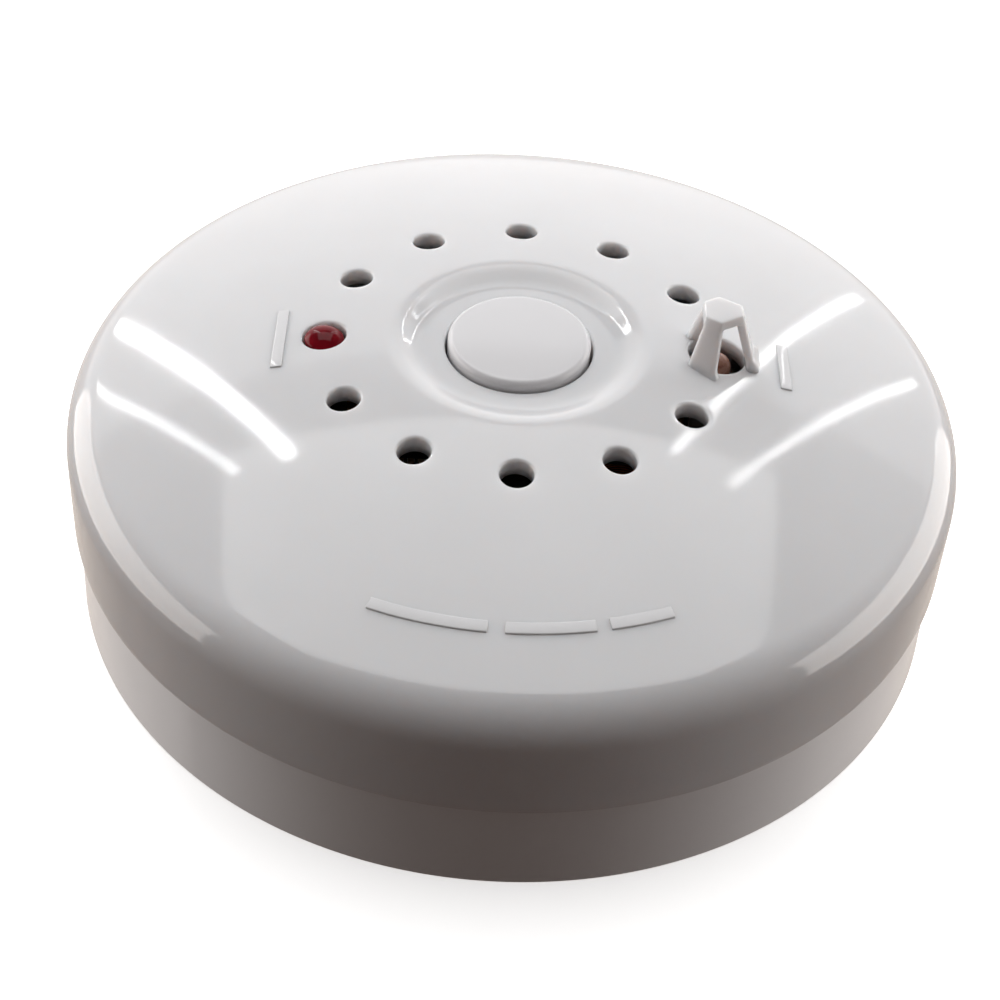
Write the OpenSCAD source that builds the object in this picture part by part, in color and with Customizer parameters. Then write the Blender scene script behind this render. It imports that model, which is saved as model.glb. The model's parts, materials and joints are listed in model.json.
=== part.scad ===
// Battery heat alarm for a ceiling: a domed head that twists onto a slotted base.
// Millimetres. The origin is the middle of the base's ceiling face, +Z runs out through the
// dome, the indicator lamp is on -X and the heat sensor's guard is on +X.

/* [Cover] */
// Diameter of the cover
cover_d = 110; // [106:1:140]
// Height of the cover's lower edge above the ceiling face
seam_z = 12.8; // [12:0.1:16]
// Height of the domed front's middle above the circuit board
headroom = 18.15; // [17.9:0.05:27]
// Radius of the dome's sphere
dome_r = 160; // [145:5:220]
// Radius of the shoulder between the dome and the side
shoulder_r = 6; // [4:0.5:8]
// Wall thickness of the cover
cover_wall = 2.2; // [1.6:0.1:3]

/* [Ring of holes] */
// Radius of the ring on which the vents, the lamp and the sensor lie
ring_r = 23.6; // [22:0.2:27]
// Places on the ring, of which one is the lamp and one the sensor
ring_count = 12; // [12]
// Diameter of a vent
vent_d = 4; // [3:0.2:5]
// Diameter of the opening over the heat sensor
sensor_hole_d = 7; // [6:0.2:8]

/* [Sensor guard] */
// Height of the guard above the dome
guard_h = 6.8; // [5:0.2:9]
// Distance of a leg's outer face from the guard's axis at the foot
guard_foot_r = 4.6; // [4.3:0.1:5.5]
// Distance of a leg's outer face from the guard's axis at the top
guard_top_r = 2.4; // [2:0.1:3]
// Width of a leg at the foot
guard_foot_w = 3.8; // [3:0.1:4.5]
// Width of a leg at the top
guard_top_w = 2.1; // [1.6:0.1:2.6]
// Thickness of a leg and of the guard's cap
guard_t = 1.2; // [0.9:0.1:1.5]

/* [Test button] */
// Diameter of the test button
button_d = 17.4; // [14:0.2:22]
// Height of the button above the dish around it
button_proud = 1.5; // [1.3:0.1:2.5]
// Travel of the button
button_travel = 1; // [0.6:0.1:1.2]
// Depth of the dish below the dome's own surface at the middle
dish_depth = 1.95; // [1.2:0.05:2.5]

/* [Mounting base] */
// Thickness of the base's floor
base_floor = 2; // [1.6:0.1:3]
// Thickness of the base's side wall
base_wall = 1.9; // [1.5:0.1:2.5]
// Distance between the two ceiling screws
screw_spacing = 60; // [50:1:70]
// Width of a screw slot
slot_w = 4.4; // [3.6:0.1:5.5]
// Length of a screw slot, end to end
slot_len = 8; // [7:0.5:12]
// Turn that frees the head from the base, in degrees
twist_free = 22; // [20:1:26]

/* [Circuit board] */
// Height of the board's underside
board_z = 17; // [15.5:0.5:21]
// Thickness of the board
board_t = 1.6; // [1:0.1:2]
// Diameter of the horn
horn_d = 30; // [26:1:31]

/* [Battery] */
// Length of the battery's case, without its terminals
battery_l = 46.4; // [44:0.2:48]
// Width of the battery
battery_w = 26.5; // [24:0.5:27]
// Thickness of the battery
battery_t = 17.5; // [15:0.5:18]

/* [Hidden] */
$fn = 72;
big_fn = 360;
eps = 0.01;
sink = 0.5;

// Cover
board_top = board_z + board_t;
dome_top_z = board_top + headroom;
cover_r = cover_d / 2;
inner_r = cover_r - cover_wall;
vent_ids = [1, 2, 3, 4, 5, 7, 8, 9, 10, 11];
ring_step = 360 / ring_count;
lamp_x = -ring_r;
sensor_x = ring_r + 0.4;
lamp_d = 4.9;
lamp_hole_d = 5.3;

// Button, the dish round it and the collar that guides it
button_r = button_d / 2;
button_gap = 0.3;
button_hole_r = button_r + button_gap;
button_crown_r = 130;
button_edge_r = 0.8;
button_wall = 1.5;
dish_floor_z = dome_top_z - dish_depth;
dish_floor_r = button_r + 3.7;
dish_rim_r = dish_floor_r + 2.6;
collar_wall = 1.3;
collar_low_z = dish_floor_z - 5.6;
button_top_z = dish_floor_z + button_proud;
button_roof_z = button_top_z - button_wall;
catch_gap = 0.25;
catch_t = 1.2;
catch_low_z = collar_low_z - catch_gap - catch_t;

// Guard over the sensor
guard_angles = [0, 120, 240];
guard_base_z = dome_height(sensor_x);
guard_top_z = guard_base_z + guard_h;
guard_sink = 0.9;
guard_lean = (guard_foot_r - guard_top_r) / guard_h;
guard_spread = (guard_foot_w - guard_top_w) / guard_h;

// Raised marks
mark_h = 0.2;
mark_w = 1.4;
mark_ring = cover_r - 11;
mark_spans = [[-111, 17.5], [-91, 13], [-76, 9.5]];

// Base and the twist lock
seam_gap = 0.4;
base_top_z = seam_z - seam_gap;
base_r = cover_r - 0.4;
base_taper = 0.3;
base_in_r = base_r - base_taper - base_wall;
base_rib_h = 1.2;
lug_angles = [90, 210, 330];
lug_span = 18;
tab_span = 22;
lug_z = 6;
lug_t = 2;
lug_gap = 0.3;
tab_t = 2;
tab_in = 1.7;
stop_in = 1.4;
stop_span = 2;
stop_gap = 0.6;

// Rear housing
housing_r = base_in_r - 2.2;
housing_wall = 1.8;
housing_z = base_floor + 2.6;
housing_floor = 2;
housing_top_z = housing_z + housing_floor;
flange_z = seam_z + 0.2;
flange_t = 1.6;
flange_r = inner_r - 0.4;
lug_r = base_in_r - 0.6;

// Screws that hold the cover to the rear housing
boss_r = 3;
boss_ring = housing_r - housing_wall - boss_r - 0.3;
boss_angles = [20, 160, 235, 305];
pad_r = 4;
pad_h = 4.4;
pad_top_z = housing_z + pad_h;
screw_head_r = 2.7;
screw_head_h = 2;
screw_r = 1.45;
screw_len = 9;
screw_sink = 2.4;

// Board and what holds it
board_r = boss_ring - boss_r - 0.6;
board_edge_y = 7.6;
post_ring = board_r - 5;
post_angles = [190, 232, 308, 350];
post_r = 3;
board_screw_r = 1;
board_screw_head_r = 2.1;
board_screw_head_h = 1.4;
board_screw_len = 7;

// Leads, and the holes drilled for them
lead_r = 0.27;
lead_hole_r = 0.42;
lead_below = board_z - 1.2;

// Switch under the button
switch_w = 8;
switch_h = 4.5;
plunger_r = 1.6;
plunger_gap = 0.2;
plunger_rise = 2.1;
plunger_top_z = board_top + switch_h + plunger_rise;
plunger_low_z = board_top + 1 + button_travel;
stem_r = 1.9;
stem_gap = 0.05;
spring_r = 3.1;
spring_wire_r = 0.28;
spring_low_z = board_top + switch_h + spring_wire_r + 0.02;
spring_high_z = button_roof_z - spring_wire_r - 0.08;
spring_turns = 6;
switch_pin_places = [[-2.5, -3.25], [2.5, -3.25], [-2.5, 3.25], [2.5, 3.25]];

// Horn
horn_r = horn_d / 2;
horn_gap = 0.2;
horn_y = -(button_hole_r + collar_wall + horn_gap + horn_r);
horn_wall = 1.4;
horn_tube_h = 6;
horn_ledge_h = 2.8;
horn_ledge_w = 1.1;
horn_cap_t = 1.6;
horn_mouth_r = 3.2;
plate_r = horn_r - horn_wall - 0.2;
plate_t = 0.25;
ceramic_r = 9.5;
ceramic_t = 0.22;
horn_contact_places = [[0, horn_y - 11], [4, horn_y + 6], [-6, horn_y - 3]];

// Lamp
lamp_proud = 0.1;
lamp_top_z = dome_height(ring_r) + lamp_proud;
lamp_lens_h = 8.6;
lamp_low_z = lamp_top_z - lamp_lens_h;
lead_pitch = 2.54;
lamp_lead_places = [[lamp_x, -lead_pitch / 2], [lamp_x, lead_pitch / 2]];

// Heat sensor
bead_r = 1.9;
bead_top_z = guard_base_z - 0.1;
bead_h = 4.6;
bead_low_z = bead_top_z - bead_h;
sensor_post_r = 2.3;
sensor_lead_places = [[sensor_x, -lead_pitch / 2], [sensor_x, lead_pitch / 2]];

// Other parts on the board
chip_l = 19.2;
chip_w = 6.4;
chip_t = 3.3;
chip_stand = 0.5;
chip_x = -26;
chip_y = -14;
chip_row = 7.62;
chip_leg_places = [for (side = [-1, 1], i = [-3:3])
    [chip_x + i * lead_pitch, chip_y + side * chip_row / 2]];
coil_x = 12.5;
coil_y = -5;
coil_flange_r = 4.4;
coil_core_r = 2.2;
coil_h = 7;
coil_flange_t = 1;
coil_lead_places = [[coil_x - 2.5, coil_y], [coil_x + 2.5, coil_y]];
tank_x = 27;
tank_y = -17;
tank_r = 4;
tank_h = 9.6;
tank_skin = 0.15;
tank_lead_places = [[tank_x - 1.25, tank_y], [tank_x + 1.25, tank_y]];
disc_places = [[-13, 3], [13.5, 3], [33.5, 1.5]];
disc_r = 2.6;
disc_t = 1.8;
disc_stand = 1.2;
resistor_places = [[26.5, -6], [27, -9.3], [-27, -6.4], [-28.5, -21.5], [15.5, -11.6]];
resistor_l = 6.2;
resistor_r = 1.15;
resistor_pitch = 10.16;
axial_z = board_top + resistor_r + 0.15;
diode_place = [-13.5, -9.6];
diode_l = 4;
diode_r = 1;
diode_pitch = 7.62;
transistor_x = -12;
transistor_y = -4.2;
transistor_r = 2.3;
transistor_h = 4.6;
transistor_stand = 2;
transistor_flat = 1.2;
transistor_leg_places = [for (i = [-1:1]) [transistor_x + i * 1.27, transistor_y]];
board_lead_places = concat(switch_pin_places, horn_contact_places, lamp_lead_places,
    sensor_lead_places, chip_leg_places, coil_lead_places, tank_lead_places,
    transistor_leg_places,
    [for (p = disc_places, s = [-1, 1]) [p[0] + s * 1.27, p[1]]],
    [for (p = resistor_places, s = [-1, 1]) [p[0] + s * resistor_pitch / 2, p[1]]],
    [for (s = [-1, 1]) [diode_place[0] + s * diode_pitch / 2, diode_place[1]]]);

// Battery, the well that holds it and the snap on its terminals
well_wall = 1.2;
well_gap = 0.5;
well_y = board_edge_y + 0.2 + well_wall;
well_w = battery_w + 2 * well_gap;
well_roof_z = housing_z + 0.4 + battery_t + 0.7;
battery_y = well_y + well_gap + battery_w / 2;
battery_low_z = housing_z + 0.4;
battery_mid_z = battery_low_z + battery_t / 2;
terminal_h = 2.1;
terminal_pitch = 12.7;
snap_t = 3.6;
well_l = battery_l + terminal_h + snap_t + 2 * well_gap;
well_x = -well_l / 2;
battery_x = well_x + well_gap;
plate_x = battery_x + battery_l;
end_plate_t = 1.2;
terminal_x = plate_x;
snap_x = terminal_x + terminal_h + 0.1;
snap_w = 24;
snap_h = 11.5;
stud_r = 2.8;
crown_r = 4.1;
snap_top_z = battery_mid_z + snap_h / 2;

// Leads from the snap to the board
wire_r = 0.65;
wire_notch_w = 7;
wire_x = snap_x + 1.8;
wire_high_z = board_top + 3.1;
red_route = [[wire_x, 15.5, snap_top_z], [wire_x, 15.5, snap_top_z + 0.8],
    [wire_x + 0.2, 14.6, wire_high_z], [wire_x + 0.6, 12, wire_high_z + 0.2],
    [wire_x + 1, 9, wire_high_z + 0.1], [wire_x + 1.3, 6.4, wire_high_z - 0.2],
    [wire_x + 1.4, 5, board_top + 1.4], [wire_x + 1.4, 5, board_top]];
black_route = [[wire_x, 19.5, snap_top_z], [wire_x, 19.5, snap_top_z + 0.8],
    [wire_x - 0.6, 18.7, wire_high_z], [wire_x - 1.6, 16.8, wire_high_z + 0.2],
    [wire_x - 1.7, 12, wire_high_z + 0.2], [wire_x - 1.7, 9, wire_high_z + 0.1],
    [wire_x - 1.8, 6.4, wire_high_z - 0.2], [wire_x - 1.9, 5, board_top + 1.4],
    [wire_x - 1.9, 5, board_top]];

// Height of the dome's surface at a distance from its axis
function dome_height(r) = dome_top_z - dome_r + sqrt(dome_r * dome_r - r * r);

function unit(v) = v / norm(v);

// One ring of a tube about a point, square to the direction of the route
function ring_at(p, along, aside, r, sides) =
    let (n = unit(cross(along, aside)), b = unit(cross(along, n)))
    [for (k = [0:sides - 1]) p + r * cos(360 * k / sides) * n + r * sin(360 * k / sides) * b];

// Direction of a route at its point i
function heading(route, i) =
    unit(route[min(i + 1, len(route) - 1)] - route[max(i - 1, 0)]);

// Outline of a guard leg at one height
function leg_ring(r, w, z) = [[r - guard_t, -w / 2, z], [r, -w / 2, z], [r, w / 2, z],
    [r - guard_t, w / 2, z]];

// Closed skin over a row of rings
module skin(rings) {
    sides = len(rings[0]);
    last = (len(rings) - 1) * sides;
    walls = [for (i = [0:len(rings) - 2], k = [0:sides - 1])
        let (a = i * sides + k, b = i * sides + (k + 1) % sides)
        [a, a + sides, b + sides, b]];
    ends = [[for (k = [0:sides - 1]) k], [for (k = [sides - 1:-1:0]) last + k]];
    polyhedron([for (ring = rings) each ring], concat(walls, ends), convexity = 6);
}

// Half section of a domed cup with a round edge, drawn inset from its outer face
module domed_section(rim_r, top_z, crown, edge, low_z, inset) {
    crown_z = top_z - crown;
    edge_x = rim_r - edge;
    edge_z = crown_z + sqrt(pow(crown - edge, 2) - edge_x * edge_x);
    lean = atan2(edge_z - crown_z, edge_x);
    reach = 3 * edge;
    intersection() {
        translate([0, crown_z]) circle(crown - inset, $fn = big_fn);
        polygon([[0, low_z], [edge_x, low_z], [edge_x, edge_z],
            [edge_x + reach * cos(lean), edge_z + reach * sin(lean)], [0, top_z + reach]]);
    }
    intersection() {
        translate([edge_x, edge_z]) circle(edge - inset);
        translate([0, low_z]) square([rim_r, top_z + reach - low_z]);
    }
    translate([0, low_z]) square([rim_r - inset, edge_z - low_z]);
}

// Tube along +Z
module tube(outer, inner, z0, z1) {
    translate([0, 0, z0]) difference() {
        cylinder(r = outer, h = z1 - z0);
        translate([0, 0, -1]) cylinder(r = inner, h = z1 - z0 + 2);
    }
}

// Block on an arc: from one radius to another over a span of angle
module arc_block(r0, r1, z0, z1, from, span) {
    rotate([0, 0, from]) rotate_extrude(angle = span, $fn = big_fn)
        translate([r0, z0]) square([r1 - r0, z1 - z0]);
}

module at_polar(r, angle) {
    rotate([0, 0, angle]) translate([r, 0, 0]) children();
}

// Round pins standing at a list of places
module pins(places, r, z0, z1) {
    for (p = places) translate([p[0], p[1], z0]) cylinder(r = r, h = z1 - z0, $fn = 24);
}

// ---- Base ----

module screw_slot() {
    straight = slot_len - slot_w;
    translate([0, 0, -1]) linear_extrude(base_floor + 2) {
        square([straight, slot_w], center = true);
        for (s = [-1, 1]) translate([s * straight / 2, 0]) circle(d = slot_w);
    }
}

module mounting_base() {
    rib_r = housing_r - 8;
    color("white") {
        difference() {
            rotate_extrude($fn = big_fn) polygon([[0, 0], [base_r, 0],
                [base_r - base_taper, base_top_z], [base_in_r, base_top_z],
                [base_in_r, base_floor], [0, base_floor]]);
            for (s = [-1, 1]) translate([s * screw_spacing / 2, 0, 0]) screw_slot();
        }
        tube(rib_r, rib_r - 1.6, base_floor - sink, base_floor + base_rib_h);
        for (a = lug_angles) {
            tab_z = lug_z + lug_t + lug_gap;
            back_stop = a - lug_span / 2 - stop_gap - stop_span;
            end_stop = a + lug_span / 2 + twist_free + stop_gap;
            arc_block(base_in_r - tab_in, base_in_r + sink, tab_z, tab_z + tab_t,
                a - tab_span / 2, tab_span);
            for (from = [back_stop, end_stop])
                arc_block(base_in_r - stop_in, base_in_r + sink * 1.5, base_floor - sink,
                    tab_z + tab_t - sink, from, stop_span);
        }
    }
}

// ---- Cover and rear housing ----

// Guard over the sensor: three legs that lean in, under a six-sided cap
module sensor_guard() {
    foot_z = guard_base_z - guard_sink;
    foot_r = guard_foot_r + guard_sink * guard_lean;
    foot_w = guard_foot_w + guard_sink * guard_spread;
    cap_r = norm([guard_top_r, guard_top_w / 2]) * 0.9;
    cap_turn = atan2(guard_top_w / 2, guard_top_r);
    translate([sensor_x, 0, 0]) {
        for (a = guard_angles) rotate([0, 0, a])
            skin([leg_ring(foot_r, foot_w, foot_z),
                leg_ring(guard_top_r, guard_top_w, guard_top_z)]);
        translate([0, 0, guard_top_z - guard_t]) linear_extrude(guard_t)
            polygon([for (a = guard_angles, s = [-1, 1])
                cap_r * [cos(a + s * cap_turn), sin(a + s * cap_turn)]]);
    }
}

// Plain raised bars, one by the lamp, one by the sensor and three on an arc in front
module raised_marks() {
    intersection() {
        rotate_extrude($fn = big_fn) difference() {
            domed_section(cover_r, dome_top_z + mark_h, dome_r + mark_h, shoulder_r,
                flange_z, 0);
            domed_section(cover_r, dome_top_z, dome_r, shoulder_r, flange_z - 1, 0.6);
        }
        linear_extrude(dome_top_z + 2) {
            translate([lamp_x - 5.4, 0]) square([mark_w, 11], center = true);
            translate([sensor_x + 8.4, 0]) square([mark_w, 8.6], center = true);
            for (span = mark_spans) intersection() {
                difference() {
                    circle(mark_ring + mark_w / 2);
                    circle(mark_ring - mark_w / 2);
                }
                polygon([[0, 0], cover_d * [cos(span[0]), sin(span[0])],
                    cover_d * [cos(span[0] + span[1]), sin(span[0] + span[1])]]);
            }
        }
    }
}

// Half section of the cover: shell, dish, and the collar that guides the button
module cover_section() {
    pan_low_z = dish_floor_z - cover_wall;
    pan_r = dish_rim_r + 1.4;
    slope = (dome_height(dish_rim_r) - dish_floor_z) / (dish_rim_r - dish_floor_r);
    difference() {
        union() {
            difference() {
                domed_section(cover_r, dome_top_z, dome_r, shoulder_r, seam_z, 0);
                domed_section(cover_r, dome_top_z, dome_r, shoulder_r, seam_z - 1, cover_wall);
            }
            polygon([[0, pan_low_z], [dish_floor_r + 0.8, pan_low_z],
                [pan_r, dome_height(pan_r) - cover_wall - 0.1],
                [pan_r, dome_height(pan_r) - cover_wall / 2],
                [0, dome_height(0) - cover_wall / 2]]);
            translate([0, collar_low_z])
                square([button_hole_r + collar_wall, pan_low_z + 1 - collar_low_z]);
        }
        polygon([[0, dish_floor_z], [dish_floor_r, dish_floor_z],
            [dish_rim_r + 2, dome_height(dish_rim_r) + 2 * slope], [0, dome_top_z + 4]]);
        translate([-1, 0]) square([button_hole_r + 1, dome_top_z + 4]);
    }
}

module top_cover() {
    color("white") difference() {
        union() {
            rotate_extrude($fn = big_fn) cover_section();
            for (a = boss_angles) at_polar(boss_ring, a)
                translate([0, 0, pad_top_z + 0.1])
                    cylinder(r = boss_r,
                        h = dome_height(boss_ring) - cover_wall * 0.8 - pad_top_z - 0.1);
            sensor_guard();
            raised_marks();
        }
        for (i = vent_ids) at_polar(ring_r, i * ring_step)
            translate([0, 0, flange_z]) cylinder(d = vent_d, h = dome_top_z);
        translate([lamp_x, 0, flange_z]) cylinder(d = lamp_hole_d, h = dome_top_z);
        translate([sensor_x, 0, flange_z])
            cylinder(d = sensor_hole_d, h = guard_base_z + 0.6 - flange_z);
        for (a = boss_angles) at_polar(boss_ring, a)
            translate([0, 0, pad_top_z - 1]) cylinder(r = screw_r + 0.05, h = screw_len + 1);
    }
}

module rear_housing() {
    low = housing_z;
    color("gainsboro") difference() {
        union() {
            rotate_extrude($fn = big_fn) polygon([[0, low], [housing_r, low],
                [housing_r, flange_z], [flange_r, flange_z], [flange_r, flange_z + flange_t],
                [housing_r - housing_wall, flange_z + flange_t],
                [housing_r - housing_wall, housing_top_z], [0, housing_top_z]]);
            for (a = lug_angles) arc_block(housing_r - 1, lug_r, lug_z, lug_z + lug_t,
                a - lug_span / 2, lug_span);
            for (a = post_angles) at_polar(post_ring, a) translate([0, 0, low + eps])
                cylinder(r = post_r, h = board_z - low - eps);
            for (a = boss_angles) at_polar(boss_ring, a) translate([0, 0, low])
                cylinder(r = pad_r, h = pad_h);
            translate([well_x - well_wall, well_y - well_wall, low + eps])
                cube([well_l + 2 * well_wall, well_w + 2 * well_wall,
                    well_roof_z + well_wall - low - eps]);
        }
        translate([well_x, well_y, low - 1]) cube([well_l, well_w, well_roof_z - low + 1]);
        translate([wire_x - wire_notch_w / 2, well_y - well_wall - 1, snap_top_z + 0.2])
            cube([wire_notch_w, well_wall + 2, well_roof_z - snap_top_z - 0.2]);
        for (a = post_angles) at_polar(post_ring, a)
            translate([0, 0, board_z - board_screw_len]) cylinder(r = board_screw_r + 0.1, h = 9);
        for (a = boss_angles) at_polar(boss_ring, a) {
            translate([0, 0, low - 1]) cylinder(r = screw_head_r + 0.4, h = screw_sink + 1);
            translate([0, 0, low]) cylinder(r = screw_r + 0.25, h = pad_h + 1);
        }
    }
}

// Pan-head self-tapping screw that points along +Z, with a cross recess below
module tapping_screw(head_r, head_h, shank_r, shank_l) {
    difference() {
        union() {
            rotate_extrude() polygon([[0, 0], [head_r * 0.55, 0], [head_r * 0.9, head_h * 0.35],
                [head_r, head_h * 0.75], [head_r, head_h], [0, head_h]]);
            translate([0, 0, head_h - eps]) cylinder(r = shank_r, h = shank_l * 0.82 + eps);
            translate([0, 0, head_h + shank_l * 0.82 - eps])
                cylinder(r1 = shank_r, r2 = shank_r * 0.3, h = shank_l * 0.18);
        }
        for (a = [0, 90]) rotate([0, 0, a]) translate([0, 0, head_h * 0.2])
            cube([head_r, head_r * 0.22, head_h * 0.9], center = true);
    }
}

module cover_screws() {
    color("silver") for (a = boss_angles) at_polar(boss_ring, a)
        translate([0, 0, housing_z + screw_sink - screw_head_h])
            tapping_screw(screw_head_r, screw_head_h, screw_r, screw_len);
}

module rating_label() {
    color("lightgray") translate([0, -24, housing_z - 0.15])
        linear_extrude(0.15) square([38, 22], center = true);
}

// ---- Test button and its switch ----

module test_button() {
    roof_z = button_roof_z;
    skirt_r = button_r - 1.3;
    color("white") {
        rotate_extrude($fn = big_fn) difference() {
            domed_section(button_r, button_top_z, button_crown_r, button_edge_r,
                catch_low_z + catch_t - eps, 0);
            translate([0, catch_low_z]) square([skirt_r, roof_z - catch_low_z]);
        }
        tube(button_hole_r + collar_wall - 0.4, skirt_r, catch_low_z, catch_low_z + catch_t);
        translate([0, 0, plunger_top_z + stem_gap])
            cylinder(r = stem_r, h = roof_z - plunger_top_z - stem_gap + eps);
    }
}

module return_spring() {
    per_turn = 14;
    count = spring_turns * per_turn;
    color("silver") skin([for (i = [0:count])
        let (t = 360 * i / per_turn,
             z = spring_low_z + (spring_high_z - spring_low_z) * i / count,
             along = unit([-sin(t), cos(t), 0.09]))
        ring_at([spring_r * cos(t), spring_r * sin(t), z], along, [0, 0, 1],
            spring_wire_r, 8)]);
}

module switch_housing() {
    color("dimgray") translate([0, 0, board_top]) difference() {
        union() {
            translate([-switch_w / 2, -switch_w / 2, 0]) cube([switch_w, switch_w, switch_h - 0.6]);
            translate([-switch_w / 2 + 0.5, -switch_w / 2 + 0.5, 0])
                cube([switch_w - 1, switch_w - 1, switch_h]);
        }
        translate([0, 0, 0.9]) cylinder(r = plunger_r + plunger_gap, h = switch_h);
        for (p = switch_pin_places) translate([p[0], p[1], -1])
            cylinder(r = lead_r + 0.05, h = 2.2, $fn = 24);
    }
}

module switch_plunger() {
    color("black") translate([0, 0, plunger_low_z])
        cylinder(r = plunger_r, h = plunger_top_z - plunger_low_z);
}

module switch_pins() {
    color("silver") pins(switch_pin_places, lead_r, lead_below, board_top + 1.2);
}

// ---- Circuit board ----

module circuit_board() {
    color("peru") difference() {
        translate([0, 0, board_z]) linear_extrude(board_t) difference() {
            circle(board_r, $fn = big_fn);
            translate([-board_r - 1, board_edge_y]) square(2 * board_r + 2);
        }
        for (a = post_angles) at_polar(post_ring, a)
            translate([0, 0, board_z - 1]) cylinder(r = board_screw_r + 0.3, h = board_t + 2);
        pins(board_lead_places, lead_hole_r, board_z - 1, board_top + 1);
    }
}

module board_screws() {
    color("silver") for (a = post_angles) at_polar(post_ring, a)
        translate([0, 0, board_top + board_screw_head_h]) rotate([180, 0, 0])
            tapping_screw(board_screw_head_r, board_screw_head_h, board_screw_r,
                board_screw_len);
}

module horn_housing() {
    color("black") translate([0, horn_y, 0]) {
        tube(horn_r, horn_r - horn_wall, board_top, board_top + horn_tube_h);
        tube(horn_r - horn_wall + eps, horn_r - horn_wall - horn_ledge_w, board_top,
            board_top + horn_ledge_h);
    }
}

module horn_cap() {
    low = board_top + horn_tube_h;
    color("black") translate([0, horn_y, 0]) {
        tube(horn_r, horn_mouth_r, low, low + horn_cap_t);
        tube(horn_mouth_r + 1.2, horn_mouth_r, low - 1.4, low + eps);
    }
}

module horn_plate() {
    color("gold") translate([0, horn_y, board_top + horn_ledge_h])
        cylinder(r = plate_r, h = plate_t);
}

module horn_ceramic() {
    color("ivory") translate([0, horn_y, board_top + horn_ledge_h + plate_t])
        cylinder(r = ceramic_r, h = ceramic_t);
}

module horn_contacts() {
    color("silver") pins(horn_contact_places, lead_r, lead_below, board_top + horn_ledge_h);
}

// ---- Lamp and heat sensor ----

module lamp_lens() {
    straight = lamp_lens_h - lamp_d / 2;
    color("red") translate([lamp_x, 0, lamp_low_z]) difference() {
        rotate_extrude() {
            intersection() {
                translate([0, straight]) circle(d = lamp_d);
                translate([0, straight - eps]) square(lamp_d);
            }
            square([lamp_d / 2, straight]);
            square([lamp_d / 2 + 0.4, 1]);
        }
        for (s = [-1, 1]) translate([0, s * lead_pitch / 2, -1])
            cylinder(r = lead_r + 0.02, h = 2.5, $fn = 24);
    }
}

module lamp_leads() {
    color("silver") pins(lamp_lead_places, lead_r, lead_below, lamp_low_z + 1.4);
}

module lamp_spacer() {
    color("black") difference() {
        translate([lamp_x, 0, board_top]) cylinder(r = lamp_d / 2 + 0.3,
            h = lamp_low_z - board_top);
        pins(lamp_lead_places, lead_r + 0.1, board_top - 1, lamp_low_z + 1);
    }
}

module thermistor_bead() {
    color("saddlebrown") translate([sensor_x, 0, 0]) difference() {
        rotate_extrude() {
            intersection() {
                translate([0, bead_top_z - bead_r]) circle(bead_r);
                translate([0, bead_top_z - bead_r - eps]) square(bead_r + 1);
            }
            polygon([[0, bead_low_z], [bead_r * 0.85, bead_low_z],
                [bead_r, bead_low_z + 1.2], [bead_r, bead_top_z - bead_r],
                [0, bead_top_z - bead_r]]);
        }
        for (s = [-1, 1]) translate([0, s * lead_pitch / 2, bead_low_z - 1])
            cylinder(r = lead_r + 0.02, h = 2.2, $fn = 24);
    }
}

module thermistor_leads() {
    color("silver") pins(sensor_lead_places, lead_r, lead_below, bead_low_z + 1.1);
}

module sensor_post() {
    color("white") difference() {
        translate([sensor_x, 0, board_top])
            cylinder(r = sensor_post_r, h = bead_low_z - 0.4 - board_top);
        pins(sensor_lead_places, lead_r + 0.1, board_top - 1, bead_low_z);
    }
}

// ---- Chip, coil and small parts ----

module control_chip() {
    color("black") translate([chip_x, chip_y, board_top + chip_stand]) difference() {
        translate([-chip_l / 2, -chip_w / 2, 0]) cube([chip_l, chip_w, chip_t]);
        translate([-chip_l / 2, 0, chip_t - 0.6]) cylinder(r = 1, h = 1);
    }
}

module chip_legs() {
    shoulder = board_top + chip_stand + chip_t / 2;
    color("silver") {
        pins(chip_leg_places, lead_r, lead_below, shoulder);
        for (p = chip_leg_places) {
            side = sign(p[1] - chip_y);
            wide = (chip_row - chip_w) / 2 + lead_r;
            translate([p[0] - 0.6, chip_y + side * (chip_w + wide) / 2 - wide / 2,
                shoulder - 0.15]) cube([1.2, wide, 0.3]);
        }
    }
}

module coil_bobbin() {
    color("dimgray") translate([coil_x, coil_y, board_top]) {
        cylinder(r = coil_flange_r, h = coil_flange_t);
        cylinder(r = coil_core_r, h = coil_h);
        translate([0, 0, coil_h - coil_flange_t]) cylinder(r = coil_flange_r, h = coil_flange_t);
    }
}

module coil_winding() {
    color("darkorange") translate([coil_x, coil_y, 0])
        tube(coil_flange_r - 0.5, coil_core_r, board_top + coil_flange_t,
            board_top + coil_h - coil_flange_t);
}

module coil_leads() {
    color("silver") pins(coil_lead_places, lead_r, lead_below, board_top);
}

module reservoir_capacitor() {
    color("silver") translate([tank_x, tank_y, board_top])
        cylinder(r = tank_r - tank_skin, h = tank_h);
}

module capacitor_sleeve() {
    color("midnightblue") translate([tank_x, tank_y, 0]) {
        tube(tank_r, tank_r - tank_skin, board_top, board_top + tank_h + tank_skin);
        tube(tank_r, tank_r - 0.9, board_top + tank_h, board_top + tank_h + tank_skin);
    }
}

module capacitor_leads() {
    color("silver") pins(tank_lead_places, lead_r, lead_below, board_top);
}

module disc_capacitors() {
    z = board_top + disc_stand + disc_r;
    color("goldenrod") for (p = disc_places) translate([p[0], p[1], z]) rotate([90, 0, 0])
        rotate_extrude() polygon([[0, -disc_t / 2], [disc_r * 0.8, -disc_t / 2],
            [disc_r, -disc_t / 5], [disc_r, disc_t / 5], [disc_r * 0.8, disc_t / 2],
            [0, disc_t / 2]]);
}

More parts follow.
